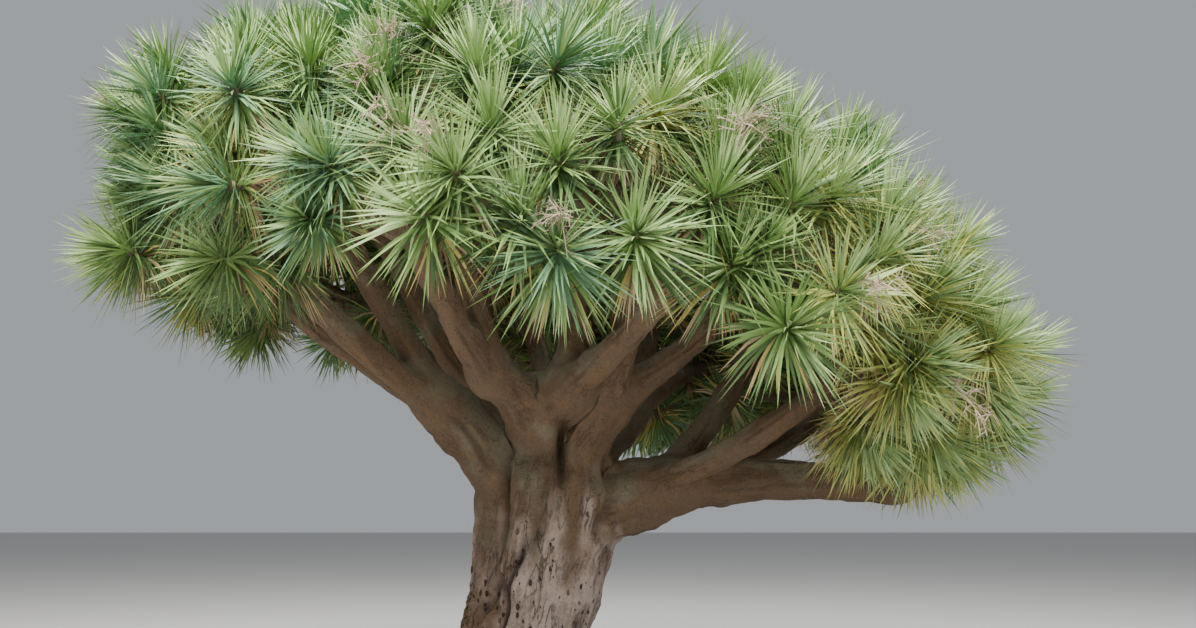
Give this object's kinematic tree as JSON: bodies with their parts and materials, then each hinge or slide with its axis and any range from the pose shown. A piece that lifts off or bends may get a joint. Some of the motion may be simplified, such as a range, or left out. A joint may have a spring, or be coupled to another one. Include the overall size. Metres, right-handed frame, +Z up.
{
  "type": "dragon blood tree",
  "caption": "Whole leaning dragon blood tree, rooted in the ground: a thick trunk, spreading forked boughs and a wide domed crown of sword-leaf tufts.",
  "frame": {"origin": "middle of the trunk's flat cut at ground level", "axes": "+Z up, +X to the side that the trunk leans to, -Y the front of the tree"},
  "size_m": [7.5337, 6.9506, 5.6781],
  "materials": {
    "trunk_bark": "rough, furrowed",
    "bough_bark": "matt, lightly ringed",
    "leaves": "waxy, half matt",
    "old_leaves": "dry, matt",
    "flower_stalks": "dry, matt"
  },
  "bodies": {
    "root": {"trunk": "trunk_bark", "right_limb": "bough_bark", "left_limb": "bough_bark", "centre_limb": "bough_bark", "right_centre_limb": "bough_bark", "back_left_limb": "bough_bark", "back_limb": "bough_bark", "back_right_limb": "bough_bark", "centre_left_limb": "bough_bark", "centre_right_limb": "bough_bark", "right_front_branch": "bough_bark", "right_upper_branch": "bough_bark", "right_back_branch": "bough_bark", "left_low_branch": "bough_bark", "left_front_branch": "bough_bark", "left_upper_branch": "bough_bark", "front_left_branch": "bough_bark", "front_left_upper_branch": "bough_bark", "front_right_branch": "bough_bark", "top_front_branch": "bough_bark", "front_right_upper_branch": "bough_bark", "right_front_upper_branch": "bough_bark", "back_left_branch": "bough_bark", "back_left_upper_branch": "bough_bark", "top_left_branch": "bough_bark", "back_branch": "bough_bark", "back_upper_branch": "bough_bark", "back_right_branch": "bough_bark", "back_right_upper_branch": "bough_bark", "top_right_branch": "bough_bark", "right_low_foliage": "leaves", "right_front_foliage": "leaves", "right_upper_foliage": "leaves", "right_back_foliage": "leaves", "left_low_foliage": "leaves", "left_front_foliage": "leaves", "left_upper_foliage": "leaves", "front_left_foliage": "leaves", "front_left_upper_foliage": "leaves", "front_right_foliage": "leaves", "top_front_foliage": "leaves", "front_right_upper_foliage": "leaves", "right_front_upper_foliage": "leaves", "back_left_foliage": "leaves", "back_left_upper_foliage": "leaves", "top_left_foliage": "leaves", "back_foliage": "leaves", "back_upper_foliage": "leaves", "back_right_foliage": "leaves", "back_right_upper_foliage": "leaves", "top_right_foliage": "leaves"}
  },
  "joints": []
}
